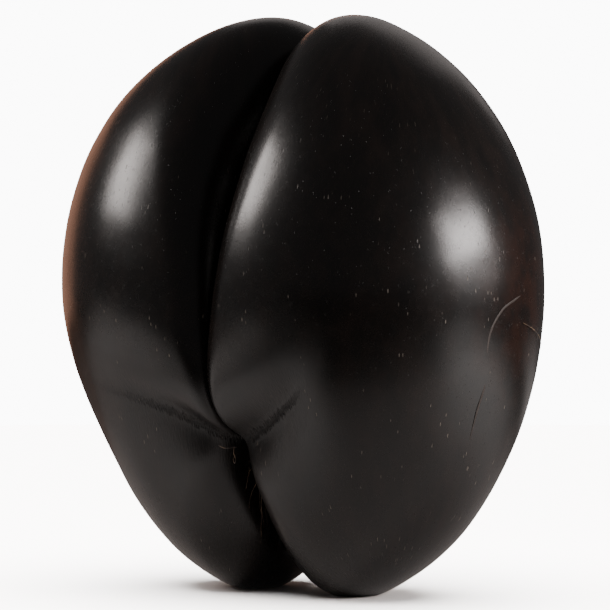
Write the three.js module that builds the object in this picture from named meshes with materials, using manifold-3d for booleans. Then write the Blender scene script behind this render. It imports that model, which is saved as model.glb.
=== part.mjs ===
// Coco de mer seed: one polished double-lobed nut, standing on the tips of its two lobes.
// Millimetres, +Z up, cheek side towards -Y, belly side towards +Y, cleft in the plane X = 0.
// The origin is under the middle of the nut, on the surface that it stands on.

import * as THREE from 'three';
import { mergeVertices } from 'three/addons/utils/BufferGeometryUtils.js';
import Module from 'manifold-3d';

// Overall body: an egg that is wider than deep, measured from its waist
const HALF_WIDTH = 134;
const CHEEK_DEPTH = 98.5;
const BELLY_DEPTH = 94.5;
const WAIST_HEIGHT = 158;
const ABOVE_WAIST = 144.5;
const BELOW_WAIST = 163.5;
const ROUNDNESS = 1.93;
const CROWN_LEAN = 9;
const FOOT_LEAN = 2;

// Below the cheeks the thighs are set back from the body's outline
const THIGH_SETBACK = 6;
const THIGH_TOP = 118;
const THIGH_BLEND = 55;

// Stations round the nut as it is seen from its flank: 0 degrees is the middle of the cheek side,
// 90 the crown, 180 the belly side, and -90 or 270 underneath. Each one holds how far the lobe's
// own middle is from the cleft, and the cleft's depth and half its width there.
const STATIONS = [
  { angle: -90, lobe: 14, depth: 44, width: 50 },
  { angle: -60, lobe: 16, depth: 48, width: 56 },
  { angle: -30, lobe: 26, depth: 9, width: 26 },
  { angle: 0, lobe: 37, depth: 13, width: 24 },
  { angle: 22, lobe: 41, depth: 21, width: 30 },
  { angle: 45, lobe: 42, depth: 30, width: 44 },
  { angle: 65, lobe: 36, depth: 35, width: 54 },
  { angle: 90, lobe: 9, depth: 24, width: 48 },
  { angle: 115, lobe: 4, depth: 8, width: 36 },
  { angle: 150, lobe: 0, depth: 2, width: 30 },
  { angle: 180, lobe: 0, depth: 1.5, width: 30 },
  { angle: 225, lobe: 4, depth: 4, width: 30 },
  { angle: 270, lobe: 14, depth: 44, width: 50 },
];
const STATION_HEIGHT = 150;

// Every groove falls steeply in its middle and rounds off at its lips
const GROOVE_FALL = 3;
const GROOVE_LIP = 0.55;

// Where two grooves meet, their depths are blended by this power
const GROOVE_BLEND = 3;

// The sinus: the slot between the thighs, open from the cheek side to the belly side.
// It is wider on the right of the cleft's plane than on the left.
const SINUS_TOP_CHEEK = 85;
const SINUS_TOP_BELLY = 94;
const SINUS_TOP_BLEND = 60;
const SINUS_ROOF = 22;
const SINUS_DEPTH = 112;
const SINUS_RIGHT_GAP = 5;
const SINUS_LEFT_GAP = 1.5;
const SINUS_WALL_ROUNDING = 9;

// The fold under each cheek starts at the sinus and runs outwards and up, growing wider
const FOLD_HEIGHT = 81;
const FOLD_DEPTH = 18;
const FOLD_ABOVE = 7;
const FOLD_ABOVE_GROWTH = 0.2;
const FOLD_BELOW = 16;
const FOLD_FRONT = 40;
const FOLD_END_BLEND = 35;
const LEFT_FOLD_RISE = 31;
const LEFT_FOLD_RUN = 40;
const LEFT_FOLD_FADE = 85;
const LEFT_FOLD_END = 125;
const LEFT_FOLD_GROWTH = 0.3;
const RIGHT_FOLD_SLOPE = 0.25;
const RIGHT_FOLD_CURVE = 0.0052;
const RIGHT_FOLD_FADE = 50;
const RIGHT_FOLD_END = 80;
const RIGHT_FOLD_GROWTH = 0.2;

// Beside the slot the right fold is deeper, where the thigh's top rounds off
const RIGHT_HOLLOW_DEPTH = 8;
const RIGHT_HOLLOW_REACH = 18;

// The groin crease on the belly side runs from the sinus outwards and up, growing wider
const GROIN_HEIGHT = 92;
const GROIN_SLOPE = 0.95;
const GROIN_DEPTH = 13;
const GROIN_LENGTH = 85;
const GROIN_FADE = 1.5;
const GROIN_ABOVE = 12;
const GROIN_ABOVE_GROWTH = 0.25;
const GROIN_BELOW = 22;
const GROIN_BELOW_GROWTH = 0.3;
const GROIN_BACK = 40;

// Each half of the skin is a polar grid round a point inside its lobe, with its pole on the flank
const LOBE_CENTRE = new THREE.Vector3(56, 0, 150);
const MERIDIANS = 76;
const RINGS = 37;
const FIRST_REACH = 20;
const LAST_REACH = 200;
const REACH_STEPS = 36;
const HALVINGS = 20;
const NARROWEST_POLAR = 0.3;
const WIDEST_POLAR = 3.12;
const ON_SEAM = 0.001;
const LEAST_SIZE = 0.000001;

const FLOOR_BLOCK = 400;

const SHELL_COLOUR = 0x2a211d;

function smooth(t) {
  const c = THREE.MathUtils.clamp(t, 0, 1);
  return c * c * (3 - 2 * c);
}

// 1 in the middle of a groove, 0 from its lip on, rounded like the edge of a lobe
function roundedEdge(t) {
  const inside = THREE.MathUtils.clamp(1 - t, 0, 1) ** GROOVE_FALL;
  return 1 - (1 - inside) ** GROOVE_LIP;
}

// 1 at the bottom of a soft crease, fading to both sides
function crease(height, above, below) {
  const t = height > 0 ? height / above : height / below;
  return 1 / (1 + t * t);
}

// Slope of a station value, from its two neighbours, level at both ends
function stationSlope(i, key) {
  if (i === 0 || i === STATIONS.length - 1) return 0;
  const before = STATIONS[i - 1];
  const after = STATIONS[i + 1];
  return (after[key] - before[key]) / (after.angle - before.angle);
}

// A station value at any angle, on a smooth curve through the stations
function around(angle, key) {
  let i = 0;
  while (i < STATIONS.length - 2 && angle > STATIONS[i + 1].angle) i += 1;
  const from = STATIONS[i];
  const to = STATIONS[i + 1];
  const run = to.angle - from.angle;
  const t = (angle - from.angle) / run;
  const t2 = t * t;
  const t3 = t2 * t;
  const start = (2 * t3 - 3 * t2 + 1) * from[key] + (t3 - 2 * t2 + t) * run * stationSlope(i, key);
  const end = (3 * t2 - 2 * t3) * to[key] + (t3 - t2) * run * stationSlope(i + 1, key);
  return start + end;
}

function leftFold(x) {
  const height = FOLD_HEIGHT + LEFT_FOLD_RISE * (1 - Math.exp(-x / LEFT_FOLD_RUN));
  const end = 1 - smooth((x - LEFT_FOLD_END + FOLD_END_BLEND) / FOLD_END_BLEND);
  const depth = FOLD_DEPTH * Math.exp(-x / LEFT_FOLD_FADE) * end;
  return { height, depth, below: FOLD_BELOW + LEFT_FOLD_GROWTH * x };
}

function rightFold(x) {
  const reach = Math.min(x, RIGHT_FOLD_END);
  const height = FOLD_HEIGHT + RIGHT_FOLD_SLOPE * x + RIGHT_FOLD_CURVE * reach * reach;
  const end = 1 - smooth((x - RIGHT_FOLD_END + FOLD_END_BLEND) / FOLD_END_BLEND);
  const share = x / RIGHT_HOLLOW_REACH;
  const depth = FOLD_DEPTH * Math.exp(-x / RIGHT_FOLD_FADE) * end
    + RIGHT_HOLLOW_DEPTH * share * Math.exp(1 - share);
  return { height, depth, below: FOLD_BELOW + RIGHT_FOLD_GROWTH * x };
}

// Height over the waist, that height in half heights, and how far out from the leaning axis
function stance(y, z) {
  const rise = z - WAIST_HEIGHT;
  const share = rise > 0 ? rise / ABOVE_WAIST : rise / BELOW_WAIST;
  const axis = (CROWN_LEAN * share * (1 + share) + FOOT_LEAN * share * (share - 1)) / 2;
  return { rise, share, out: y - axis };
}

// How far a point is outside the body of one half, about in mm, before any groove is cut in it
function bodyDistance(x, z, stand, lobe) {
  const setback = THIGH_SETBACK * smooth((THIGH_TOP - z) / THIGH_BLEND);
  const v = stand.out < 0 ? stand.out / (CHEEK_DEPTH - setback) : stand.out / BELLY_DEPTH;
  const u = (x - lobe) / (HALF_WIDTH - lobe);
  const level = (u * u + v * v) ** (ROUNDNESS / 2);
  const size = (level + Math.abs(stand.share) ** ROUNDNESS) ** (1 / ROUNDNESS);
  return Math.hypot(x - lobe, stand.out, stand.rise) * (1 - 1 / Math.max(size, LEAST_SIZE));
}

function cleftDepth(x, angle) {
  return around(angle, 'depth') * roundedEdge(x / around(angle, 'width'));
}

function sinusDepth(x, z, out, side) {
  const cheekSide = smooth(0.5 - out / SINUS_TOP_BLEND);
  const roof = THREE.MathUtils.lerp(SINUS_TOP_BELLY, SINUS_TOP_CHEEK, cheekSide);
  const open = smooth((roof - z) / SINUS_ROOF);
  const gap = (side > 0 ? SINUS_RIGHT_GAP : SINUS_LEFT_GAP) * open;
  return SINUS_DEPTH * open * roundedEdge(Math.max(x - gap, 0) / SINUS_WALL_ROUNDING);
}

function foldDepth(x, z, out, side) {
  const fold = side > 0 ? rightFold(x) : leftFold(x);
  const above = FOLD_ABOVE + FOLD_ABOVE_GROWTH * x;
  return fold.depth * crease(z - fold.height, above, fold.below) * smooth(-out / FOLD_FRONT);
}

function groinDepth(x, z, out) {
  const height = (z - GROIN_HEIGHT - GROIN_SLOPE * x) / Math.hypot(1, GROIN_SLOPE);
  const depth = GROIN_DEPTH * Math.max(1 - x / GROIN_LENGTH, 0) ** GROIN_FADE;
  const above = GROIN_ABOVE + GROIN_ABOVE_GROWTH * x;
  const below = GROIN_BELOW + GROIN_BELOW_GROWTH * x;
  return depth * crease(height, above, below) * smooth(out / GROIN_BACK);
}

// Positive outside the nut and negative inside; x is the distance from the cleft's plane
function outside(x, y, z, side) {
  const stand = stance(y, z);
  let angle = THREE.MathUtils.radToDeg(Math.atan2(z - STATION_HEIGHT, -stand.out));
  if (angle < STATIONS[0].angle) angle += 360;
  const grooves = [
    cleftDepth(x, angle),
    sinusDepth(x, z, stand.out, side),
    foldDepth(x, z, stand.out, side),
    groinDepth(x, z, stand.out),
  ];
  const blended = grooves.reduce((sum, depth) => sum + depth ** GROOVE_BLEND, 0) ** (1 / GROOVE_BLEND);
  return bodyDistance(x, z, stand, around(angle, 'lobe')) + blended;
}

function direction(meridian, polar) {
  const across = Math.sin(polar);
  return new THREE.Vector3(
    Math.cos(polar),
    across * Math.cos(meridian),
    across * Math.sin(meridian),
  );
}

// The point where a ray from the lobe's centre leaves the nut or crosses the cleft's plane
function skinPoint(meridian, polar, side) {
  const ray = direction(meridian, polar);
  const at = (reach) => LOBE_CENTRE.clone().addScaledVector(ray, reach);
  const left = (reach) => {
    const p = at(reach);
    return p.x < 0 || outside(p.x, p.y, p.z, side) > 0;
  };
  const stride = (LAST_REACH - FIRST_REACH) / REACH_STEPS;
  let far = FIRST_REACH + stride;
  while (far < LAST_REACH && !left(far)) far += stride;
  let near = far - stride;
  for (let i = 0; i < HALVINGS; i += 1) {
    const middle = (near + far) / 2;
    if (left(middle)) far = middle;
    else near = middle;
  }
  return at((near + far) / 2);
}

// The widest polar angle at which the skin still lies on this side of the cleft's plane
function widestPolar(meridian, side) {
  let low = NARROWEST_POLAR;
  let high = WIDEST_POLAR;
  for (let i = 0; i < HALVINGS; i += 1) {
    const middle = (low + high) / 2;
    if (skinPoint(meridian, middle, side).x > ON_SEAM) low = middle;
    else high = middle;
  }
  return low;
}

// One half's points: the pole first, then ring after ring; the last ring lies in the cleft's plane
function halfSkin(side, seam) {
  const points = [skinPoint(0, 0, side)];
  const widest = [];
  for (let i = 0; i < MERIDIANS; i += 1) widest.push(widestPolar((i * 2 * Math.PI) / MERIDIANS, side));
  for (let ring = 1; ring <= RINGS; ring += 1) {
    for (let i = 0; i < MERIDIANS; i += 1) {
      const meridian = (i * 2 * Math.PI) / MERIDIANS;
      const point = skinPoint(meridian, (widest[i] * ring) / RINGS, side);
      if (ring === RINGS) point.x = 0;
      points.push(point);
    }
  }
  if (seam) points.splice(-MERIDIANS, MERIDIANS, ...seam);
  return points;
}

function halfFaces(first, flipped) {
  const faces = [];
  const add = (a, b, c) => faces.push(...(flipped ? [a, c, b] : [a, b, c]).map((i) => first + i));
  const at = (ring, i) => 1 + (ring - 1) * MERIDIANS + (i % MERIDIANS);
  for (let i = 0; i < MERIDIANS; i += 1) {
    add(0, at(1, i), at(1, i + 1));
    for (let ring = 1; ring < RINGS; ring += 1) {
      add(at(ring, i), at(ring + 1, i), at(ring + 1, i + 1));
      add(at(ring, i), at(ring + 1, i + 1), at(ring, i + 1));
    }
  }
  return faces;
}

function wholeSkin() {
  const right = halfSkin(1, null);
  const left = halfSkin(-1, right.slice(-MERIDIANS));
  const positions = [];
  for (const p of right) positions.push(p.x, p.y, p.z);
  for (const p of left) positions.push(-p.x, p.y, p.z);
  const geometry = new THREE.BufferGeometry();
  geometry.setAttribute('position', new THREE.Float32BufferAttribute(positions, 3));
  geometry.setIndex([...halfFaces(0, false), ...halfFaces(right.length, true)]);
  return mergeVertices(geometry);
}

const wasm = await Module();
wasm.setup();

function toSolid(geometry) {
  const bare = geometry.clone();
  bare.deleteAttribute('normal');
  bare.deleteAttribute('uv');
  const merged = mergeVertices(bare);
  const vertProperties = new Float32Array(merged.attributes.position.array);
  const triVerts = new Uint32Array(merged.index.array);
  return new wasm.Manifold(new wasm.Mesh({ numProp: 3, vertProperties, triVerts }));
}

function toGeometry(solid) {
  const mesh = solid.getMesh();
  const geometry = new THREE.BufferGeometry();
  geometry.setAttribute('position', new THREE.BufferAttribute(mesh.vertProperties, 3));
  geometry.setIndex(new THREE.BufferAttribute(mesh.triVerts, 1));
  return geometry;
}

// The tips of the lobes are worn flat where the nut stands on them
function standingSeed() {
  const block = new THREE.BoxGeometry(FLOOR_BLOCK, FLOOR_BLOCK, FLOOR_BLOCK);
  block.translate(0, 0, -FLOOR_BLOCK / 2);
  const geometry = toGeometry(toSolid(wholeSkin()).subtract(toSolid(block)));
  geometry.computeBoundingBox();
  const middle = geometry.boundingBox.getCenter(new THREE.Vector3());
  geometry.translate(-middle.x, -middle.y, 0);
  geometry.computeVertexNormals();
  return geometry;
}

const shell = new THREE.MeshStandardMaterial({ color: SHELL_COLOUR, roughness: 0.28, metalness: 0 });
const seed = new THREE.Mesh(standingSeed(), shell);
seed.name = 'seed';

const nut = new THREE.Group();
nut.add(seed);

export default nut;
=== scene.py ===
"""Looks of a coco de mer seed: its polished skin, the coir in its slot, and the table it stands on."""

import math

import bpy
import numpy as np
from bpy.props import FloatProperty, FloatVectorProperty, IntProperty, PointerProperty
from bpy.types import Operator, Panel, PropertyGroup
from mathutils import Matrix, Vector, noise


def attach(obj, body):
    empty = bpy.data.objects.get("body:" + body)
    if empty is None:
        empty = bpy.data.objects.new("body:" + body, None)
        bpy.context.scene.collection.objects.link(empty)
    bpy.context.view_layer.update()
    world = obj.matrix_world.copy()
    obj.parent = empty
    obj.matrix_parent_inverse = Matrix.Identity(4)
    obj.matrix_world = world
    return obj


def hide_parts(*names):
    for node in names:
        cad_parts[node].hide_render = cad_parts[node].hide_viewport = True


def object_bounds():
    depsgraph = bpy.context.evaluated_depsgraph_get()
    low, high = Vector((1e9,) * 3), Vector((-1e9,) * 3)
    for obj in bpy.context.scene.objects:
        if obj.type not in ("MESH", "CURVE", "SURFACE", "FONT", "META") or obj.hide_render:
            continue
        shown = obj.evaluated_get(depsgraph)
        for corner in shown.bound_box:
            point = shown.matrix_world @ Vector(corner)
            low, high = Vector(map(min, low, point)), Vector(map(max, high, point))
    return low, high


bl_info = {
    "name": "Coco de mer seed",
    "version": (1, 0, 0),
    "blender": (4, 5, 0),
    "location": "3D View > Sidebar > Seed",
    "description": "A polished double-lobed nut, the coir left in its slot, and a pale table",
    "category": "Add Mesh",
}

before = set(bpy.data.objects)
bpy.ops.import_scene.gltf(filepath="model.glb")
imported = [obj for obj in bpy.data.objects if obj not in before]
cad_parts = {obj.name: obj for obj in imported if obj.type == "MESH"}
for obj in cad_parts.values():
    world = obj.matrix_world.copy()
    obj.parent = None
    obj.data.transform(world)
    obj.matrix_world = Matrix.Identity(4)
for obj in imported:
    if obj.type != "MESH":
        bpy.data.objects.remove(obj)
CAD_LOW, CAD_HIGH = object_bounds()

MM = 0.001


def to_linear(colour):
    """An sRGB hex colour, such as "#c08040", as linear red, green and blue."""
    parts = [int(colour[i:i + 2], 16) / 255 for i in (1, 3, 5)]
    return tuple(c / 12.92 if c <= 0.04045 else ((c + 0.055) / 1.055) ** 2.4 for c in parts)


# Stations round the nut as it is seen from its flank: 0 degrees is the middle of the cheek side,
# 90 the crown, 180 the belly side, and -90 or 270 underneath. Each row holds the angle, how far the
# lobe's own middle is from the cleft, and the cleft's depth and half its width there, in mm.
STATIONS = np.array([
    (-90, 14, 44, 50),
    (-60, 16, 48, 56),
    (-30, 26, 9, 26),
    (0, 37, 13, 24),
    (22, 41, 21, 30),
    (45, 42, 30, 44),
    (65, 36, 35, 54),
    (90, 9, 24, 48),
    (115, 4, 8, 36),
    (150, 0, 2, 30),
    (180, 0, 1.5, 30),
    (225, 4, 4, 30),
    (270, 14, 44, 50),
])
LOBE, DEPTH, WIDTH = 1, 2, 3
STATION_HEIGHT = 150
THIGH_TOP = 118
THIGH_BLEND = 55
SINUS_TOP_CHEEK = 85
SINUS_TOP_BELLY = 94
SINUS_ROOF = 22
SINUS_DEPTH = 112
SINUS_WALL_ROUNDING = 9
FOLD_HEIGHT = 81
FOLD_END_BLEND = 35
GROIN_HEIGHT = 92
GROIN_SLOPE = 0.95
GROIN_LENGTH = 85
# The folds' heights, fading and spread, in mm, as x runs from the cleft to the flank.
LEFT_FOLD_RISE, LEFT_FOLD_RUN = 31, 40
LEFT_FOLD_FADE, LEFT_FOLD_END = 85, 125
RIGHT_FOLD_SLOPE, RIGHT_FOLD_CURVE = 0.25, 0.0052
RIGHT_FOLD_FADE, RIGHT_FOLD_END = 50, 80
RIGHT_HOLLOW_REACH = 18
FOLD_ABOVE, FOLD_ABOVE_GROWTH = 7, 0.2
FOLD_BELOW, LEFT_FOLD_GROWTH, RIGHT_FOLD_GROWTH = 16, 0.3, 0.2
GROIN_ABOVE, GROIN_ABOVE_GROWTH = 12, 0.25
GROIN_BELOW, GROIN_BELOW_GROWTH = 22, 0.3
# Folds and creases fade in over this distance from the middle to the cheek or the belly side.
SIDE_BLEND = 40
SINUS_TOP_BLEND = 60
# A groove's wall falls with this power, and its lip is rounded with the other.
WALL_FALL, LIP_ROUNDING = 3, 0.55
SHALLOW_SLOT = 12
LOBE_CENTRE = np.array([56.0, 0.0, 150.0])
FIRST_REACH, LAST_REACH = 20, 200
# Over the grain's coordinates: the lobe's middle, and the lengths of one radian round and down it.
GRAIN_CENTRE = np.array([48.0, 0.0, 150.0])
GRAIN_ROUND, GRAIN_DOWN = 95, 140
# Moves the left half's grain away from the right half's, so that they aren't mirror images.
LEFT_GRAIN_SHIFT = 500.0
# A height over the fold's line that is far from every fold, for the belly side.
NO_FOLD = 99.0


class SeedForm(PropertyGroup):
    """Sizes of the nut that change its shape."""
    half_width: FloatProperty(
        name="Half width", description="From the cleft's plane to the flank",
        default=round((CAD_HIGH.x - CAD_LOW.x) / 2, 4), unit="LENGTH")
    cheek_depth: FloatProperty(
        name="Cheek depth", description="From the nut's middle to the front of the cheeks",
        default=0.0985, unit="LENGTH")
    belly_depth: FloatProperty(
        name="Belly depth", description="From the nut's middle to the belly",
        default=0.0945, unit="LENGTH")
    waist_height: FloatProperty(
        name="Waist height", description="Height of the widest place",
        default=0.158, unit="LENGTH")
    above_waist: FloatProperty(
        name="Above the waist", description="Height of the body over its waist",
        default=0.1445, unit="LENGTH")
    below_waist: FloatProperty(
        name="Below the waist", description="Depth of the body under its waist, with the worn tips",
        default=0.1635, unit="LENGTH")
    roundness: FloatProperty(
        name="Roundness", description="2 is an ellipse, more is squarer, less is more pointed",
        default=1.93)
    crown_lean: FloatProperty(
        name="Crown lean", description="How far the crown leans towards the belly side",
        default=0.009, unit="LENGTH")
    foot_lean: FloatProperty(
        name="Foot lean", description="How far the lobe tips lean towards the belly side",
        default=0.002, unit="LENGTH")
    thigh_setback: FloatProperty(
        name="Thigh setback", description="How far the thighs lie behind the cheeks",
        default=0.006, unit="LENGTH")
    sinus_right_gap: FloatProperty(
        name="Slot, right", description="From the cleft's plane to the slot's right wall",
        default=0.005, unit="LENGTH")
    sinus_left_gap: FloatProperty(
        name="Slot, left", description="From the cleft's plane to the slot's left wall",
        default=0.0015, unit="LENGTH")
    fold_depth: FloatProperty(
        name="Fold depth", description="Depth of the folds under the cheeks, at the cleft",
        default=0.018, unit="LENGTH")
    hollow_depth: FloatProperty(
        name="Hollow depth", description="Extra depth of the right fold beside the slot",
        default=0.008, unit="LENGTH")
    groin_depth: FloatProperty(
        name="Groin depth", description="Depth of the creases on the belly side, at the cleft",
        default=0.013, unit="LENGTH")
    undulation: FloatProperty(
        name="Undulation", description="How far the hand-polished skin rises and dips",
        default=0.0004, unit="LENGTH")
    meridians: IntProperty(
        name="Meridians", description="Steps round each half of the skin", default=280)
    rings: IntProperty(
        name="Rings", description="Steps from each flank to the cleft", default=165)


class SeedFinish(PropertyGroup):
    """Colours and gloss of the polished skin."""
    dark: FloatVectorProperty(
        name="Dark", description="Main colour of the shell",
        subtype="COLOR", default=to_linear("#0c0a09"))
    brown: FloatVectorProperty(
        name="Brown", description="Colour of the shell's paler streaks and patches",
        subtype="COLOR", default=to_linear("#1b1411"))
    flank: FloatVectorProperty(
        name="Flank", description="Redder brown of the flanks",
        subtype="COLOR", default=to_linear("#27150e"))
    dust: FloatVectorProperty(
        name="Dust", description="Pale dust held in the open pores",
        subtype="COLOR", default=to_linear("#93887c"))
    husk: FloatVectorProperty(
        name="Husk", description="Unpolished shell at the bottom of the cleft and the slot",
        subtype="COLOR", default=to_linear("#2a1c13"))
    scratched: FloatVectorProperty(
        name="Scratched", description="Shell where its polish is scraped off",
        subtype="COLOR", default=to_linear("#403934"))
    roughness: FloatProperty(
        name="Roughness", description="Roughness of the polished shell",
        default=0.25, min=0, max=1)


class CoirForm(PropertyGroup):
    """The fibres left in the slot."""
    strands: IntProperty(
        name="Strands", description="Number of fibres on the slot's roof", default=70)
    wall_strands: IntProperty(
        name="Wall strands", description="Number of fibres down the slot's right wall", default=12)
    thickness: FloatProperty(
        name="Thickness", description="Thickness of a fibre at its root",
        default=0.00035, unit="LENGTH")
    length: FloatProperty(
        name="Length", description="Length of the longest fibre",
        default=0.036, unit="LENGTH")
    draw: IntProperty(
        name="Draw", description="Start of the random draws", default=11)
    colour: FloatVectorProperty(
        name="Colour", description="Main colour of the fibres",
        subtype="COLOR", default=to_linear("#3a291d"))
    pale: FloatVectorProperty(
        name="Pale", description="Colour of the paler fibres",
        subtype="COLOR", default=to_linear("#8f7355"))


class StageLook(PropertyGroup):
    """The table and the lights."""
    table_radius: FloatProperty(
        name="Table radius", description="Radius of the round table top",
        default=1.3, unit="LENGTH")
    table_colour: FloatVectorProperty(
        name="Table", description="Colour of the table top",
        subtype="COLOR", default=to_linear("#e0dcda"))
    # Painted light: the table glows in this colour in its pools of light.
    pool: FloatVectorProperty(
        name="Pools of light", description="Colour of the light in the table's brighter places",
        subtype="COLOR", default=to_linear("#f4f2f0"))
    # Painted shade: the table's colour darkens to this far from the nut, where the lights fall off.
    table_painted_shade: FloatVectorProperty(
        name="Table edge", description="Colour of the table top far from the nut",
        subtype="COLOR", default=to_linear("#383533"))
    backdrop: FloatProperty(
        name="Backdrop", description="Brightness of the white behind the nut", default=11)
    room: FloatProperty(
        name="Room", description="Brightness of the dark room that the nut reflects", default=0.1)


def smooth(t):
    """0 to 1 on a soft S curve."""
    t = np.clip(t, 0, 1)
    return t * t * (3 - 2 * t)


def blend(start, end, share):
    return start + (end - start) * share


def rounded_edge(t):
    """1 in the middle of a groove, 0 from its lip on, rounded like the edge of a lobe."""
    inside = np.clip(1 - t, 0, 1) ** WALL_FALL
    return 1 - (1 - inside) ** LIP_ROUNDING


def crease(height, above, below):
    """1 at the bottom of a soft crease, fading to both sides."""
    t = np.where(height > 0, height / above, height / below)
    return 1 / (1 + t * t)


def around(angle, column):
    """A station value at any angle, on a smooth curve through the stations."""
    at = STATIONS[:, 0]
    value = STATIONS[:, column]
    slope = np.zeros(len(at))
    slope[1:-1] = (value[2:] - value[:-2]) / (at[2:] - at[:-2])
    i = np.clip(np.searchsorted(at, angle, side="right") - 1, 0, len(at) - 2)
    run = at[i + 1] - at[i]
    t = (angle - at[i]) / run
    start = (2 * t**3 - 3 * t**2 + 1) * value[i] + (t**3 - 2 * t**2 + t) * run * slope[i]
    end = (3 * t**2 - 2 * t**3) * value[i + 1] + (t**3 - t**2) * run * slope[i + 1]
    return start + end


def fold_line(x, side):
    """Height of the fold under a cheek, its share of the full depth, its extra depth, and its reach down."""
    if side < 0:
        height = FOLD_HEIGHT + LEFT_FOLD_RISE * (1 - np.exp(-x / LEFT_FOLD_RUN))
        ending = smooth((x - LEFT_FOLD_END + FOLD_END_BLEND) / FOLD_END_BLEND)
        return height, np.exp(-x / LEFT_FOLD_FADE) * (1 - ending), 0, FOLD_BELOW + LEFT_FOLD_GROWTH * x
    height = FOLD_HEIGHT + RIGHT_FOLD_SLOPE * x + RIGHT_FOLD_CURVE * np.minimum(x, RIGHT_FOLD_END) ** 2
    ending = smooth((x - RIGHT_FOLD_END + FOLD_END_BLEND) / FOLD_END_BLEND)
    hollow = x / RIGHT_HOLLOW_REACH * np.exp(1 - x / RIGHT_HOLLOW_REACH)
    return height, np.exp(-x / RIGHT_FOLD_FADE) * (1 - ending), hollow, FOLD_BELOW + RIGHT_FOLD_GROWTH * x


class Shape:
    """The nut's skin as a formula, in mm: x is the distance from the cleft's plane."""

    def __init__(self, form):
        for name in ("half_width", "cheek_depth", "belly_depth", "waist_height", "above_waist",
                     "below_waist", "crown_lean", "foot_lean", "thigh_setback", "sinus_right_gap",
                     "sinus_left_gap", "fold_depth", "hollow_depth", "groin_depth"):
            setattr(self, name, getattr(form, name) / MM)
        self.roundness = form.roundness

    def stand(self, y, z):
        """Rise over the waist, the same in half heights, and the distance out from the leaning axis."""
        rise = z - self.waist_height
        w = np.where(rise > 0, rise / self.above_waist, rise / self.below_waist)
        axis = (self.crown_lean * w * (1 + w) + self.foot_lean * w * (w - 1)) / 2
        return rise, w, y - axis

    def grooves(self, x, y, z, side):
        """Depth of the cleft, of the slot, of the fold and of the groin crease."""
        out = self.stand(y, z)[2]
        angle = np.degrees(np.arctan2(z - STATION_HEIGHT, -out))
        angle = np.where(angle < -90, angle + 360, angle)
        cleft = around(angle, DEPTH) * rounded_edge(x / around(angle, WIDTH))
        roof = blend(SINUS_TOP_BELLY, SINUS_TOP_CHEEK, smooth(0.5 - out / SINUS_TOP_BLEND))
        open_ = smooth((roof - z) / SINUS_ROOF)
        gap = (self.sinus_right_gap if side > 0 else self.sinus_left_gap) * open_
        slot = SINUS_DEPTH * open_ * rounded_edge(np.maximum(x - gap, 0) / SINUS_WALL_ROUNDING)
        height, share, extra, below = fold_line(x, side)
        fold = (self.fold_depth * share + self.hollow_depth * extra) * smooth(-out / SIDE_BLEND)
        fold = fold * crease(z - height, FOLD_ABOVE + FOLD_ABOVE_GROWTH * x, below)
        height = (z - GROIN_HEIGHT - GROIN_SLOPE * x) / math.hypot(1, GROIN_SLOPE)
        groin = self.groin_depth * np.maximum(1 - x / GROIN_LENGTH, 0) ** 1.5
        groin = groin * smooth(out / SIDE_BLEND) * crease(
            height, GROIN_ABOVE + GROIN_ABOVE_GROWTH * x, GROIN_BELOW + GROIN_BELOW_GROWTH * x)
        return cleft, slot, fold, groin

    def shares(self, x, y, z, side):
        """How far into the slot a point is, and how near a fold's bottom, from 0 to 1."""
        slot, fold, groin = self.grooves(x, y, z, side)[1:]
        deepest = self.grooves(np.zeros_like(x), y, z, side)[1]
        near_fold = np.maximum(fold / self.fold_depth, groin / self.groin_depth)
        return slot / np.maximum(deepest, SHALLOW_SLOT), near_fold

    def outside(self, x, y, z, side):
        """Positive outside the nut and negative inside, about in mm."""
        rise, w, out = self.stand(y, z)
        setback = self.thigh_setback * smooth((THIGH_TOP - z) / THIGH_BLEND)
        v = np.where(out < 0, out / (self.cheek_depth - setback), out / self.belly_depth)
        angle = np.degrees(np.arctan2(z - STATION_HEIGHT, -out))
        angle = np.where(angle < -90, angle + 360, angle)
        lobe = around(angle, LOBE)
        u = (x - lobe) / (self.half_width - lobe)
        n = self.roundness
        size = ((u * u + v * v) ** (n / 2) + np.abs(w) ** n) ** (1 / n)
        radius = np.sqrt((x - lobe) ** 2 + out * out + rise * rise)
        deep = np.cbrt(sum(groove**3 for groove in self.grooves(x, y, z, side)))
        return radius * (1 - 1 / np.maximum(size, 1e-6)) + deep

    def gap(self, points):
        """How far points anywhere round the whole nut are from its skin, about in mm."""
        x, y, z = np.abs(points[:, 0]), points[:, 1], points[:, 2]
        return np.where(points[:, 0] < 0, self.outside(x, y, z, -1), self.outside(x, y, z, 1))

    def normals(self, points, step=0.3):
        """Outward unit normals from the slope of the formula, anywhere round the whole nut."""
        slope = np.zeros_like(points)
        for k in range(3):
            move = np.zeros(3)
            move[k] = step
            slope[:, k] = self.gap(points + move) - self.gap(points - move)
        return slope / np.maximum(np.linalg.norm(slope, axis=1, keepdims=True), 1e-9)

    def leave(self, start, ray, side, first=FIRST_REACH, last=LAST_REACH, steps=36):
        """Points where rays from start leave the nut or cross the cleft's plane."""
        def left(reach):
            p = start + ray * reach[:, None]
            return (p[:, 0] < 0) | (self.outside(np.maximum(p[:, 0], 0), p[:, 1], p[:, 2], side) > 0)
        near = np.full(len(ray), float(first))
        far = np.full(len(ray), float(last))
        waiting = np.ones(len(ray), bool)
        stride = (last - first) / steps
        for i in range(1, steps + 1):
            reach = np.full(len(ray), first + i * stride)
            met = waiting & left(reach)
            near[met], far[met] = reach[met] - stride, reach[met]
            waiting &= ~met
        for _ in range(20):
            middle = (near + far) / 2
            gone = left(middle)
            near, far = np.where(gone, near, middle), np.where(gone, middle, far)
        return start + ray * ((near + far) / 2)[:, None]

    def roof_over(self, x, y):
        """Height of the slot's roof over a place between the lobe tips."""
        height = np.arange(40, 100, 0.25)
        gap = self.gap(np.stack([np.full_like(height, x), np.full_like(height, y), height], -1))
        return height[np.argmax(gap < 0)]


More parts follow.
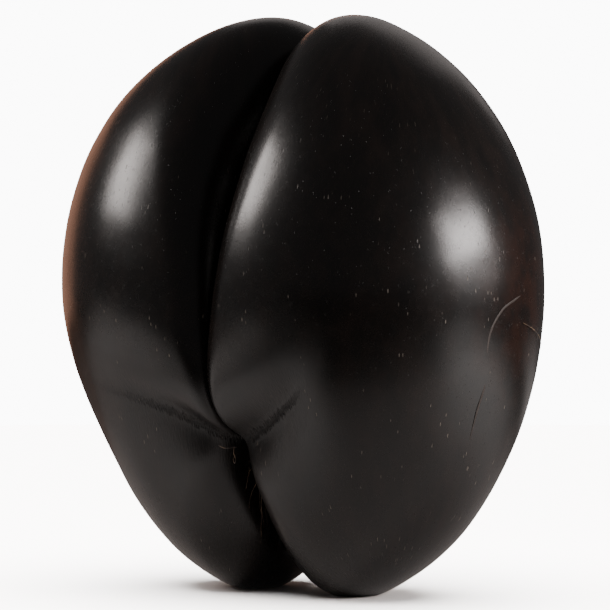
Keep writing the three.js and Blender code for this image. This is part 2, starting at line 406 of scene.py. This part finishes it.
def polar_rays(meridian, polar):
    across = np.sin(polar)
    return np.stack([np.cos(polar), across * np.cos(meridian), across * np.sin(meridian)], -1)


def half_skin(shape, side, meridians, rings):
    """One half's points, ring after ring from the pole on the flank to the cleft's plane."""
    meridian = np.arange(meridians) * 2 * math.pi / meridians
    low = np.full(meridians, 0.3)
    high = np.full(meridians, math.pi - 0.02)
    for _ in range(18):
        middle = (low + high) / 2
        here = shape.leave(LOBE_CENTRE, polar_rays(meridian, middle), side)[:, 0] > 1e-3
        low, high = np.where(here, middle, low), np.where(here, high, middle)
    share = np.arange(1, rings + 1) / rings
    polar = (low[None, :] * share[:, None]).ravel()
    rays = polar_rays(np.tile(meridian, rings), polar)
    points = shape.leave(LOBE_CENTRE, rays, side).reshape(rings, meridians, 3)
    points[-1, :, 0] = 0
    pole = shape.leave(LOBE_CENTRE, np.array([[1.0, 0.0, 0.0]]), side)
    return pole, points


# Lengths of the skin's waves in mm, the finer one's share, and how far from the seam they fade in.
BROAD_WAVE, FINE_WAVE, FINE_WAVE_SHARE = 47, 19, 0.45
SEAM_BLEND = 8


def undulate(shape, points, side, height):
    """Moves points in and out a little, as hand polishing leaves them; the cleft's seam stays."""
    mirror = np.array([side, 1, 1])
    normals = shape.normals(points * mirror) * mirror
    rise = np.empty(len(points))
    for i, p in enumerate(points):
        place = Vector((p[0] * side, p[1], p[2]))
        rise[i] = noise.noise(place / BROAD_WAVE) + FINE_WAVE_SHARE * noise.noise(place / FINE_WAVE)
    return points + normals * (rise * height * smooth(points[:, 0] / SEAM_BLEND))[:, None]


def half_faces(first, meridians, rings, flipped):
    """Triangles round the pole, then quads from ring to ring."""
    i = np.arange(meridians)
    after = (i + 1) % meridians
    fan = [[first, first + 1 + a, first + 1 + b] for a, b in zip(i, after)]
    ring = np.arange(rings - 1)[:, None] * meridians + first + 1
    quads = np.stack([ring + i, ring + meridians + i, ring + meridians + after, ring + after], -1)
    faces = fan + quads.reshape(-1, 4).tolist()
    return [face[::-1] for face in faces] if flipped else faces


def new_object(name, points, faces, smooth_faces=True):
    mesh = bpy.data.meshes.new(name)
    mesh.from_pydata((np.asarray(points) * MM).tolist(), [], faces)
    mesh.update()
    mesh.polygons.foreach_set("use_smooth", [smooth_faces] * len(mesh.polygons))
    piece = bpy.data.objects.new(name, mesh)
    bpy.context.scene.collection.objects.link(piece)
    return piece


def settle(shape):
    """How far the formula's points move in Y to stand in the middle of the CAD box."""
    around_nut = np.radians(np.arange(360))
    down_lobe = np.linspace(0.5, 2.4, 20)
    meridian, polar = np.meshgrid(around_nut, down_lobe)
    y = shape.leave(LOBE_CENTRE, polar_rays(meridian.ravel(), polar.ravel()), 1)[:, 1]
    middle = (CAD_HIGH.y + CAD_LOW.y) / 2 / MM
    return middle - (y.min() + y.max()) / 2


def add_node(tree, kind, inputs=None, **settings):
    """Adds a node with its own settings. An input is a value, an output, or a node with one output."""
    node = tree.nodes.new(kind)
    for name, value in settings.items():
        setattr(node, name, value)
    for name, value in (inputs or {}).items():
        if isinstance(name, int):
            socket = node.inputs[name]
        else:
            socket = next(s for s in node.inputs if s.enabled and s.name == name)
        if isinstance(value, bpy.types.Node):
            value = next(s for s in value.outputs if s.enabled)
        if isinstance(value, bpy.types.NodeSocket):
            tree.links.new(value, socket)
        else:
            socket.default_value = value
    return node


def new_material(name):
    """A material with an empty node tree."""
    material = bpy.data.materials.new(name)
    material.use_nodes = True
    material.node_tree.nodes.clear()
    return material, material.node_tree


def end_in_shader(tree, inputs):
    """Ends a material's tree in one shader with the given inputs."""
    shader = add_node(tree, "ShaderNodeBsdfPrincipled", inputs)
    add_node(tree, "ShaderNodeOutputMaterial", {"Surface": shader})


def opaque(colour):
    return (*colour, 1)


# Noise on the shell: one step's width across the grain and length along it in mm, and its detail.
SHELL_NOISE = {
    "streak": (0.5, 4.5, 3.0),
    "patch": (16.0, 30.0, 3.0),
    "cloud": (5.0, 7.0, 2.0),
    "satin": (0.6, 1.2, 1.0),
    "cluster": (19.0, 24.0, 1.0),
    "hatch": (0.7, 4.0, 2.0),
    "wander": (1.2, 9.0, 2.0),
}
# Scattered spots on the shell: their spacing across and along the grain in mm.
SHELL_SPOTS = {
    "pit": (1.7, 5.0),
    "pore": (2.2, 12.0),
}
# The most that a fold's line wanders to each side is half of this, in mm.
FOLD_WANDER = 7.0
# What each part of the pattern adds to the roughness.
SHELL_ROUGHNESS = {
    "satin": 0.02,
    "pits": 0.25,
    "pores": 0.3,
    "unpolished": 0.4,
    "fold": 0.12,
    "wrinkles": 0.35,
}
# What each part of the pattern adds to the height, in mm.
SHELL_RELIEF = {
    "streak": 0.026,
    "satin": 0.008,
    "cloud": 0.012,
    "pits": -0.07,
    "pores": -0.08,
    "hatching": 0.2,
    "wrinkles": -0.5,
}


def polished_palm_shell(look):
    """Palm nutshell, scraped and hand polished with wax.

    It is dense and nearly black. Its gloss is satin, so lights spread into soft patches, which the
    vessels' open ends break up into fine dark pits. Some pores are full of pale dust. Along the grain
    run faint brown streaks. The flanks are redder, the bottoms of the cleft and slot are unpolished,
    and the skin is finely wrinkled along the folds.
    """
    material, tree = new_material("polished_palm_shell")
    grain = add_node(tree, "ShaderNodeAttribute", attribute_name="grain").outputs["Vector"]
    part = {}
    for name in ("hollow", "fold", "over_fold"):
        part[name] = add_node(tree, "ShaderNodeAttribute", attribute_name=name).outputs["Fac"]
    place = add_node(tree, "ShaderNodeTexCoord").outputs["Object"]
    axes = add_node(tree, "ShaderNodeSeparateXYZ", {"Vector": place})
    for name, (across, along, detail) in SHELL_NOISE.items():
        scaled = add_node(tree, "ShaderNodeMapping", {
            "Vector": grain, "Scale": (1 / across, 1 / across, 1 / along)})
        part[name] = add_node(tree, "ShaderNodeTexNoise", {
            "Vector": scaled, "Scale": 1.0, "Detail": detail, "Roughness": 0.6})
    for name, (across, along) in SHELL_SPOTS.items():
        scaled = add_node(tree, "ShaderNodeMapping", {
            "Vector": grain, "Scale": (1 / across, 1 / across, 1 / along)})
        cell = add_node(tree, "ShaderNodeTexVoronoi", {"Vector": scaled, "Scale": 1.0})
        part[name] = cell.outputs["Distance"]
    part["outward"] = add_node(tree, "ShaderNodeMath", {0: axes.outputs["X"]}, operation="ABSOLUTE")
    wander = add_node(tree, "ShaderNodeMath", {0: part["wander"], 1: 0.5}, operation="SUBTRACT")
    off_line = add_node(tree, "ShaderNodeMath", {
        0: wander, 1: FOLD_WANDER, 2: part["over_fold"]}, operation="MULTIPLY_ADD")
    part["off_line"] = add_node(tree, "ShaderNodeMath", {0: off_line}, operation="ABSOLUTE")

    # Soft steps: the part, where its step starts and ends, and the shares at its start and end.
    soft_steps = {
        "in_pit": (part["pit"], 0.08, 0.14, 1.0, 0.0),
        "in_pore": (part["pore"], 0.09, 0.15, 1.0, 0.0),
        "pitted": (part["cloud"], 0.45, 0.6, 0.0, 1.0),
        "clustered": (part["cluster"], 0.54, 0.64, 0.0, 1.0),
        "low": (axes.outputs["Z"], 0.15, 0.25, 1.0, 0.2),
        "brown_patch": (part["patch"], 0.35, 0.75, 0.0, 0.8),
        "brown_streak": (part["streak"], 0.5, 0.75, 0.0, 0.7),
        "red_patch": (part["patch"], 0.35, 0.65, 0.2, 1.0),
        "on_flank": (part["outward"], 0.122, 0.138, 0.0, 1.0),
        "unpolished": (part["hollow"], 0.82, 0.95, 0.0, 1.0),
        "near_fold": (part["fold"], 0.1, 0.6, 0.0, 1.0),
        "in_fold": (part["fold"], 0.3, 0.8, 0.0, 1.0),
        "on_line": (part["off_line"], 0.0, 3.0, 1.0, 0.0),
        "gloss": (part["cloud"], 0.3, 0.7, look.roughness - 0.005, look.roughness + 0.015),
    }
    for name, (value, low, high, start, end) in soft_steps.items():
        part[name] = add_node(tree, "ShaderNodeMapRange", {
            "Value": value, "From Min": low, "From Max": high, "To Min": start, "To Max": end},
            interpolation_type="SMOOTHSTEP")
    products = {
        "pits": ("in_pit", "pitted"),
        "dusty": ("clustered", "low"),
        "pores": ("in_pore", "dusty"),
        "red_flank": ("on_flank", "red_patch"),
        "hatching": ("hatch", "near_fold"),
        "wrinkles": ("on_line", "in_fold"),
    }
    for name, (first, second) in products.items():
        part[name] = add_node(tree, "ShaderNodeMath", {
            0: part[first], 1: part[second]}, operation="MULTIPLY")
    part["dust"] = add_node(tree, "ShaderNodeMath", {0: part["pores"], 1: 0.6}, operation="MULTIPLY")

    colour = opaque(look.dark)
    layers = (("brown_patch", look.brown), ("brown_streak", look.brown), ("red_flank", look.flank),
              ("unpolished", look.husk), ("dust", look.dust))
    for name, over in layers:
        colour = add_node(tree, "ShaderNodeMix", {
            "Factor": part[name], "A": colour, "B": opaque(over)}, data_type="RGBA")
    roughness = part["gloss"]
    for name, amount in SHELL_ROUGHNESS.items():
        roughness = add_node(tree, "ShaderNodeMath", {
            0: part[name], 1: amount, 2: roughness}, operation="MULTIPLY_ADD")
    height = 0.0
    for name, amount in SHELL_RELIEF.items():
        height = add_node(tree, "ShaderNodeMath", {
            0: part[name], 1: amount, 2: height}, operation="MULTIPLY_ADD")
    bump = add_node(tree, "ShaderNodeBump", {"Height": height, "Strength": 1.0, "Distance": MM})
    end_in_shader(tree, {"Base Color": colour, "Roughness": roughness, "IOR": 1.5, "Normal": bump})
    return material


def coir(look):
    """Coir: dry husk fibre as it grew, matt and brown, paler where it is frayed."""
    material, tree = new_material("coir_fibre")
    place = add_node(tree, "ShaderNodeTexCoord").outputs["Object"]
    # About 4 mm from one shade to the next, so most fibres differ from their neighbours.
    shade = add_node(tree, "ShaderNodeTexNoise", {"Vector": place, "Scale": 250.0, "Detail": 2.0})
    share = add_node(tree, "ShaderNodeMapRange", {"Value": shade, "From Min": 0.4, "From Max": 0.7})
    mix = add_node(tree, "ShaderNodeMix", {
        "Factor": share, "A": opaque(look.colour), "B": opaque(look.pale)}, data_type="RGBA")
    end_in_shader(tree, {"Base Color": mix, "Roughness": 0.75, "Sheen Weight": 0.2})
    return material


def scratched_shell(look):
    """Palm nutshell with its polish scraped off: pale, dry and finely scored."""
    material, tree = new_material("scratched_palm_shell")
    place = add_node(tree, "ShaderNodeTexCoord").outputs["Object"]
    # Scores about 0.5 mm apart.
    score = add_node(tree, "ShaderNodeTexNoise", {"Vector": place, "Scale": 2000.0, "Detail": 2.0})
    mix = add_node(tree, "ShaderNodeMix", {
        "Factor": score, "A": opaque(look.flank), "B": opaque(look.scratched)}, data_type="RGBA")
    bump = add_node(tree, "ShaderNodeBump", {"Height": score, "Strength": 1.0, "Distance": 0.1 * MM})
    end_in_shader(tree, {"Base Color": mix, "Roughness": 0.5, "Normal": bump})
    return material


def grain_place(points):
    """Coordinates in mm that run along the grain: round each lobe, and from its crown to its tip."""
    out = points - GRAIN_CENTRE
    turn = np.arctan2(out[:, 1], out[:, 0])
    down = np.arctan2(np.hypot(out[:, 0], out[:, 1]), out[:, 2])
    return np.stack([GRAIN_ROUND * np.cos(turn), GRAIN_ROUND * np.sin(turn), GRAIN_DOWN * down], -1)


def store(mesh, name, kind, key, values):
    mesh.attributes.new(name, kind, "POINT").data.foreach_set(key, values.ravel())


def crisp_seam(mesh):
    """Keeps the line where the two lobes meet crisp."""
    coordinates = np.empty(len(mesh.vertices) * 3)
    mesh.vertices.foreach_get("co", coordinates)
    on_seam = np.abs(coordinates[::3]) < 1e-7
    ends = np.empty(len(mesh.edges) * 2, int)
    mesh.edges.foreach_get("vertices", ends)
    both = on_seam[ends.reshape(-1, 2)].all(1)
    sharp = mesh.attributes.new("sharp_edge", "BOOLEAN", "EDGE")
    sharp.data.foreach_set("value", both)


class SEED_OT_skin(Operator):
    """Make the nut's polished skin from the formula of its shape"""
    bl_idname = "seed.skin"
    bl_label = "Polished skin"

    def execute(self, context):
        form = context.scene.seed_form
        shape = Shape(form)
        meridians, rings = form.meridians, form.rings
        halves, faces, grains, hollows, folds, heights = [], [], [], [], [], []
        seam = None
        for side in (1, -1):
            pole, grid = half_skin(shape, side, meridians, rings)
            seam = grid[-1].copy() if seam is None else seam
            grid[-1] = seam
            half = np.concatenate([pole, grid.reshape(-1, 3)])
            hollow, fold = shape.shares(*half.T, side)
            over_fold = half[:, 2] - fold_line(half[:, 0], side)[0]
            heights.append(np.where(half[:, 1] < 0, over_fold, NO_FOLD))
            half = undulate(shape, half, side, form.undulation / MM)
            grains.append(grain_place(half) + (0.0, 0.0, LEFT_GRAIN_SHIFT * (side < 0)))
            half[:, 0] *= side
            first = sum(len(p) for p in halves)
            faces += half_faces(first, meridians, rings, side < 0)
            halves.append(half)
            hollows.append(hollow)
            folds.append(fold)
        points = np.concatenate(halves)
        # Both halves share the first one's points along the seam.
        kept = 1 + meridians * (rings - 1)
        twin = {len(halves[0]) + kept + i: kept + i for i in range(meridians)}
        faces = [[twin.get(corner, corner) for corner in face] for face in faces]
        points = points[:-meridians]
        points[:, 1] += settle(shape)
        points[:, 2] = np.maximum(points[:, 2], 0)
        skin = new_object("seed_skin", points, faces)
        store(skin.data, "grain", "FLOAT_VECTOR", "vector", np.concatenate(grains)[:-meridians])
        store(skin.data, "hollow", "FLOAT", "value", np.concatenate(hollows)[:-meridians])
        store(skin.data, "fold", "FLOAT", "value", np.concatenate(folds)[:-meridians])
        store(skin.data, "over_fold", "FLOAT", "value", np.concatenate(heights)[:-meridians])
        crisp_seam(skin.data)
        skin.data.materials.append(polished_palm_shell(context.scene.seed_finish))
        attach(skin, "root")
        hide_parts("seed")
        return {"FINISHED"}


def tube(path, widths, heights, ups, sides):
    """Points and faces of a closed tube along a path; its cross-section is wide across ups."""
    path = np.asarray(path, float)
    ahead = np.gradient(path, axis=0)
    ahead /= np.linalg.norm(ahead, axis=1, keepdims=True)
    across = np.cross(ahead, ups)
    across /= np.linalg.norm(across, axis=1, keepdims=True)
    up = np.cross(across, ahead)
    turn = np.arange(sides) * 2 * math.pi / sides
    points = (path[:, None]
              + across[:, None] * (widths[:, None] * np.cos(turn))[..., None]
              + up[:, None] * (heights[:, None] * np.sin(turn))[..., None]).reshape(-1, 3)
    faces = []
    for ring in range(len(path) - 1):
        for i in range(sides):
            after = (i + 1) % sides
            faces.append([ring * sides + i, ring * sides + after,
                          (ring + 1) * sides + after, (ring + 1) * sides + i])
    faces.append(list(range(sides))[::-1])
    faces.append([(len(path) - 1) * sides + i for i in range(sides)])
    return points, faces


def join_tubes(name, tubes):
    points, faces = [], []
    for tube_points, tube_faces in tubes:
        first = sum(len(p) for p in points)
        faces += [[first + corner for corner in face] for face in tube_faces]
        points.append(tube_points)
    return new_object(name, np.concatenate(points), faces)


def curve_through(places, count):
    """A smooth curve through places, cut into equal shares of its parameter."""
    places = np.asarray(places, float)
    at = np.linspace(0, len(places) - 1, count)
    i = np.clip(at.astype(int), 0, len(places) - 2)
    t = (at - i)[:, None]
    before = places[np.maximum(i - 1, 0)]
    start, end = places[i], places[i + 1]
    after = places[np.minimum(i + 2, len(places) - 1)]
    return 0.5 * (2 * start + (end - before) * t + (2 * before - 5 * start + 4 * end - after) * t**2
                  + (3 * start - before - 3 * end + after) * t**3)


# How often a point that is inside the nut is moved out, and how far at most each time, in mm.
PUSHES, LONGEST_PUSH = 8, 1.5


def push_out(shape, points, clear):
    """Moves points that are closer to the nut's skin than clear out to that distance."""
    for _ in range(PUSHES):
        short = np.clip(clear - shape.gap(points), 0, LONGEST_PUSH)
        points = points + shape.normals(points) * short[:, None]
        points[:, 2] = np.maximum(points[:, 2], clear)
    return points


# How much a fibre's way turns down at each step, and how far its middle stays off the shell in mm.
STRAND_DROOP = 0.06
STRAND_CLEAR = 0.3
# Where the fibres have their roots, in mm: on the slot's roof, and on its right wall.
ROOF_X, ROOF_Y = (-0.9, 4.2), (-52, 60)
WALL_X, WALL_FRONT_Y, WALL_BACK_Y, WALL_Z = 4.0, (-56, -44), (40, 58), (60, 76)
WALL_BACK_SHARE = 0.4
ROOF_CURL, WALL_CURL = 0.34, 0.12
# One long fibre lies across the mouth of the slot, and one makes a loop under it.
CROSSING = [(-7, -66, 79.5), (-3, -67.5, 78.6), (1, -68, 78.7), (5, -67, 79.2)]
LOOP = [(1, -64, 79), (3, -67, 76), (4.5, -67.5, 73), (3, -66.5, 71), (1.2, -65, 73), (2.5, -64, 75.5)]


def strand_paths(shape, roots, ways, lengths, curl, rng, clear):
    """Fibres that wander from their roots, hang a little, and slide along the shell."""
    steps, fine = 12, 24
    trail = [roots]
    for _ in range(steps):
        ways = ways + rng.normal(0, curl, ways.shape) - (0, 0, STRAND_DROOP)
        ways = ways / np.linalg.norm(ways, axis=1, keepdims=True)
        trail.append(push_out(shape, trail[-1] + ways * lengths[:, None] / steps, clear))
    curves = np.concatenate([curve_through(points, fine) for points in np.stack(trail, 1)])
    return push_out(shape, curves, clear).reshape(len(roots), fine, 3)


def strand_tube(path, thickness):
    """A round fibre, thinner towards its end."""
    radius = thickness / 2 * np.linspace(1, 0.35, len(path))
    return tube(path, radius, radius, np.tile((0.13, 0.9, 0.41), (len(path), 1)), 5)


class SEED_OT_coir(Operator):
    """Make the fibres that are left in the slot between the lobe tips"""
    bl_idname = "seed.coir"
    bl_label = "Coir in the slot"

    def execute(self, context):
        look = context.scene.coir_form
        shape = Shape(context.scene.seed_form)
        rng = np.random.default_rng(look.draw)
        thickness, longest = look.thickness / MM, look.length / MM
        count = look.strands
        x, y = rng.uniform(*ROOF_X, count), rng.uniform(*ROOF_Y, count)
        roof = [shape.roof_over(*place) for place in zip(x, y)]
        ways = np.stack([rng.normal(0, 0.3, count), rng.normal(0, 0.9, count), np.full(count, -0.5)], -1)
        lengths = longest * rng.uniform(0.15, 0.6, count)
        roots = np.stack([x, y, roof], -1)
        roof_strands = strand_paths(shape, roots, ways, lengths, ROOF_CURL, rng, STRAND_CLEAR)
        count = look.wall_strands
        back = rng.random(count) < WALL_BACK_SHARE
        y = np.where(back, rng.uniform(*WALL_BACK_Y, count), rng.uniform(*WALL_FRONT_Y, count))
        roots = np.stack([np.full(count, WALL_X), y, rng.uniform(*WALL_Z, count)], -1)
        lean = rng.normal(np.where(back, 0.05, -0.1), 0.12)
        ways = np.stack([rng.normal(0.1, 0.1, count), lean, np.full(count, -1.0)], -1)
        lengths = longest * rng.uniform(0.3, 1, count)
        wall_strands = strand_paths(shape, roots, ways, lengths, WALL_CURL, rng, STRAND_CLEAR)
        paths = np.concatenate([roof_strands, wall_strands])
        tubes = [strand_tube(path, thickness * rng.uniform(0.45, 1)) for path in paths]
        for path in (curve_through(CROSSING, 22), curve_through(LOOP, 30)):
            tubes.append(strand_tube(push_out(shape, path, 0.1), thickness * 1.1))
        coir_piece = join_tubes("slot_coir", tubes)
        settle_piece(coir_piece, shape)
        coir_piece.data.materials.append(coir(look))
        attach(coir_piece, "root")
        return {"FINISHED"}


def settle_piece(piece, shape):
    """Moves a piece made in the formula's place to where the nut stands."""
    shift = settle(shape) * MM
    for vertex in piece.data.vertices:
        vertex.co.y += shift


SCAR = [(133.4, -4, 156.5), (133.5, -9, 154.6), (132.2, -18.2, 149.8), (129.9, -24.8, 140.1),
        (127.6, -25.7, 127.7), (125.1, -23.5, 112.7), (120.9, -24.2, 99.1), (116, -23, 84.9)]
HAIR = [(133.1, -0.8, 142.8), (132.4, 8, 140), (130.1, 17.5, 136.1), (126.3, 26.7, 131.6),
        (123.6, 31.3, 127.8)]


class SEED_OT_flank_marks(Operator):
    """Make the pale scar and the stray fibre on the right flank"""
    bl_idname = "seed.flank_marks"
    bl_label = "Scar and stray fibre"

    def execute(self, context):
        shape = Shape(context.scene.seed_form)
        path, ups = on_skin(shape, curve_through(SCAR, 60))
        width = 0.8 * np.interp(np.linspace(0, 1, 60), [0, 0.12, 0.6, 0.85, 1], [0.2, 0.8, 1, 0.8, 0.2])
        scar = join_tubes("flank_scar", [tube(path, width, 0.15 * width, ups, 8)])
        scar.data.materials.append(scratched_shell(context.scene.seed_finish))
        path, ups = on_skin(shape, curve_through(HAIR, 40))
        lift = 0.15 + 0.9 * np.sin(np.linspace(0, math.pi, 40))
        radius = 0.16 * np.interp(np.linspace(0, 1, 40), [0, 0.2, 1], [0.6, 1, 0.4])
        hair = join_tubes("stray_fibre", [tube(path + ups * lift[:, None], radius, radius, ups, 6)])
        hair.data.materials.append(coir(context.scene.coir_form))
        for piece in (scar, hair):
            settle_piece(piece, shape)
            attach(piece, "root")
        return {"FINISHED"}


def on_skin(shape, path):
    """The nearest places on the nut's skin, with the skin's normals there."""
    for _ in range(4):
        path = path - shape.normals(path) * shape.gap(path)[:, None]
    return path, shape.normals(path)


class SEED_OT_stage(Operator):
    """Make the table, the lights, the backdrop and the camera"""
    bl_idname = "seed.stage"
    bl_label = "Table, lights and camera"

    def execute(self, context):
        look = context.scene.stage_look
        # The sweep lies just under the nut, and the table just under the sweep.
        white, table = (
            new_object(name, disc(look.table_radius / MM, TABLE_CORNERS, height),
                       [list(range(TABLE_CORNERS))], False)
            for name, height in (("white_sweep", -0.05), ("table", -0.1)))
        white.data.materials.append(white_paper(look))
        table.data.materials.append(table_painted_light(look))
        # The camera sees the brightly lit sweep, and the nut reflects the table in the same place.
        white.visible_glossy = False
        white.visible_diffuse = False
        white.visible_shadow = False
        table.visible_camera = False
        add_world(look)
        for name, aim, azimuth, elevation, distance, size, brightness, colour in LIGHTS:
            add_light(name, aim, way_to(azimuth, elevation), distance, size, brightness, colour)
        add_sun(white)
        add_camera(Shape(context.scene.seed_form))
        return {"FINISHED"}


# The ellipse in which the table keeps its full colour; outside it the colour darkens to painted shade, as
# the lights' fall-off: the middle's x and y, half the width and half the depth in metres, the turn in
# degrees, and where it starts to fade and is gone, in half widths.
LIT_TABLE = ((0, 0.05), (1.0, 0.7), 0, 0.15, 0.65)
# Painted pools of light, glowing in the table's material: the same, and how much brighter than the table
# each is.
PAINTED_LIGHT_POOLS = (
    ((-0.5, -0.42), (0.68, 0.5), 40, 0.35, 1.0, 0.3),
    ((0.5, 0.1), (0.42, 0.24), 0, 0.35, 1.0, 1.1),
    ((-0.04, -0.16), (0.16, 0.12), 0, 0.35, 1.0, 0.3),
    ((0.12, 0.8), (0.55, 0.42), 0, 0.35, 1.0, 0.3),
)


def table_ellipse(tree, middle, size, turn, full, gone):
    """1 inside an ellipse on the table, fading to 0 outside it."""
    place = add_node(tree, "ShaderNodeTexCoord").outputs["Object"]
    centred = add_node(tree, "ShaderNodeMapping", {
        "Vector": place, "Location": (*middle, 0), "Rotation": (0, 0, math.radians(turn)),
        "Scale": (*size, 1)}, vector_type="TEXTURE")
    away = add_node(tree, "ShaderNodeVectorMath", {0: centred}, operation="LENGTH")
    return add_node(tree, "ShaderNodeMapRange", {
        "Value": away, "From Min": full, "From Max": gone, "To Min": 1.0, "To Max": 0.0},
        interpolation_type="SMOOTHSTEP")


def white_paper(look):
    """White background paper, calendered and matt: one even tone, so the ground has no horizon."""
    material, tree = new_material("white_paper")
    end_in_shader(tree, {"Base Color": opaque(look.table_colour), "Roughness": 0.9})
    return material


def table_painted_light(look):
    """Matt white laminate, brightest beside the nut with painted light: its colour darkens to painted shade
    as the light falls off to all sides, and painted pools of light glow on it.
    """
    material, tree = new_material("table_painted_light")
    lit = table_ellipse(tree, *LIT_TABLE)
    painted_glow = 0.0
    for *ellipse, brightness in PAINTED_LIGHT_POOLS:
        pool = table_ellipse(tree, *ellipse)
        lit = add_node(tree, "ShaderNodeMath", {0: lit, 1: pool}, operation="MAXIMUM")
        # Painted light: each pool makes the table glow, though it is no lamp.
        painted_glow = add_node(tree, "ShaderNodeMath", {0: pool, 1: brightness, 2: painted_glow}, operation="MULTIPLY_ADD")
    # Painted shade: the table's colour darkens outside the lit ellipse and the pools.
    mix = add_node(tree, "ShaderNodeMix", {
        "Factor": lit, "A": opaque(look.table_painted_shade), "B": opaque(look.table_colour)}, data_type="RGBA")
    end_in_shader(tree, {"Base Color": mix, "Roughness": 0.6, "Emission Color": opaque(look.pool),
                         "Emission Strength": painted_glow})
    return material


TABLE_CORNERS = 96


def disc(radius, corners, height):
    turn = np.arange(corners) * 2 * math.pi / corners
    return np.stack([radius * np.cos(turn), radius * np.sin(turn), np.full(corners, height)], -1)


def way_to(azimuth, elevation):
    """A direction from the nut: azimuth 0 is straight in front of the cheek side, 90 on its right."""
    a, e = math.radians(azimuth), math.radians(elevation)
    return Vector((math.sin(a) * math.cos(e), -math.cos(a) * math.cos(e), math.sin(e)))


# Each light's name, the place on the nut that it faces, azimuth and elevation in degrees, distance,
# width and height in metres, brightness, and colour.
LIGHTS = (
    ("left_softbox", (-0.052, -0.079, 0.214), -57, 29, 0.8, (0.31, 0.31), 16, "#fff7f3"),
    ("right_softbox", (0.124, -0.031, 0.18), 102, 14, 0.55, (0.29, 0.145), 30, "#fff8f6"),
    ("brown_wall", (0, 0, 0.15), -125, 6, 1.5, (1.25, 0.86), 0.8, "#ffb28c"),
    ("back_panel", (0, 0, 0.2), -158, 29, 1.7, (1.15, 0.9), 0.45, "#fff4f0"),
)


def add_light(name, aim, way, distance, size, brightness, colour):
    """A flat rectangular light, as bright per area of its face as given."""
    data = bpy.data.lights.new(name, "AREA")
    data.shape = "RECTANGLE"
    data.size, data.size_y = size
    data.energy = brightness * math.pi * size[0] * size[1]
    data.color = to_linear(colour)
    light = bpy.data.objects.new(name, data)
    light.location = Vector(aim) + way * distance
    light.rotation_euler = (-way).to_track_quat("-Z", "Y").to_euler()
    bpy.context.scene.collection.objects.link(light)


OVERHEAD_STRENGTH = 45
OVERHEAD_SPREAD = 75


def add_sun(white):
    """A broad overhead light that only the white sweep takes."""
    data = bpy.data.lights.new("overhead", "SUN")
    data.energy = OVERHEAD_STRENGTH
    data.angle = math.radians(OVERHEAD_SPREAD)
    sun = bpy.data.objects.new("overhead", data)
    bpy.context.scene.collection.objects.link(sun)
    lit = bpy.data.collections.new("lit_from_above")
    lit.objects.link(white)
    sun.light_linking.receiver_collection = lit


def add_world(look):
    """White behind the nut, and a dark room in its reflections."""
    world = bpy.data.worlds.new("room")
    bpy.context.scene.world = world
    world.use_nodes = True
    tree = world.node_tree
    tree.nodes.clear()
    path = add_node(tree, "ShaderNodeLightPath")
    room = add_node(tree, "ShaderNodeBackground", {
        "Color": opaque(to_linear("#fff8f8")), "Strength": look.room})
    seen = add_node(tree, "ShaderNodeBackground", {
        "Color": (1, 1, 1, 1), "Strength": look.backdrop})
    mixed = add_node(tree, "ShaderNodeMixShader", {
        0: path.outputs["Is Camera Ray"], 1: room, 2: seen})
    add_node(tree, "ShaderNodeOutputWorld", {"Surface": mixed})


CAMERA_AZIMUTH = 35
CAMERA_ELEVATION = 2
CAMERA_DISTANCE = 1.9
CAMERA_AIM_HEIGHT = 0.1491
PIXELS_PER_MM = 1.922
IMAGE_WIDTH = 610
SENSOR_WIDTH = 36


def add_camera(shape):
    """The photograph's view: a long lens from the right of the cheek side, a little above level."""
    data = bpy.data.cameras.new("camera")
    data.sensor_width = SENSOR_WIDTH
    data.lens = SENSOR_WIDTH * PIXELS_PER_MM * CAMERA_DISTANCE / MM / IMAGE_WIDTH
    camera = bpy.data.objects.new("camera", data)
    aim = Vector((0, settle(shape) * MM, CAMERA_AIM_HEIGHT))
    back = way_to(CAMERA_AZIMUTH, CAMERA_ELEVATION)
    camera.location = aim + back * CAMERA_DISTANCE
    camera.rotation_euler = (-back).to_track_quat("-Z", "Y").to_euler()
    bpy.context.scene.collection.objects.link(camera)
    bpy.context.scene.camera = camera


class SEED_PT_panel(Panel):
    """Lists the pieces in the 3D view's sidebar"""
    bl_label = "Coco de mer seed"
    bl_idname = "SEED_PT_panel"
    bl_space_type = "VIEW_3D"
    bl_region_type = "UI"
    bl_category = "Seed"

    def draw(self, context):
        for operator in OPERATORS:
            self.layout.operator(operator.bl_idname)


GROUPS = {
    "seed_form": SeedForm,
    "seed_finish": SeedFinish,
    "coir_form": CoirForm,
    "stage_look": StageLook,
}
OPERATORS = (SEED_OT_skin, SEED_OT_coir, SEED_OT_flank_marks, SEED_OT_stage)


def register():
    for name, group in GROUPS.items():
        bpy.utils.register_class(group)
        setattr(bpy.types.Scene, name, PointerProperty(type=group))
    for operator in OPERATORS:
        bpy.utils.register_class(operator)
    bpy.utils.register_class(SEED_PT_panel)


def unregister():
    bpy.utils.unregister_class(SEED_PT_panel)
    for operator in reversed(OPERATORS):
        bpy.utils.unregister_class(operator)
    for name, group in GROUPS.items():
        delattr(bpy.types.Scene, name)
        bpy.utils.unregister_class(group)


def main():
    register()
    bpy.ops.seed.skin()
    bpy.ops.seed.coir()
    bpy.ops.seed.flank_marks()
    bpy.ops.seed.stage()


if __name__ == "__main__":
    main()
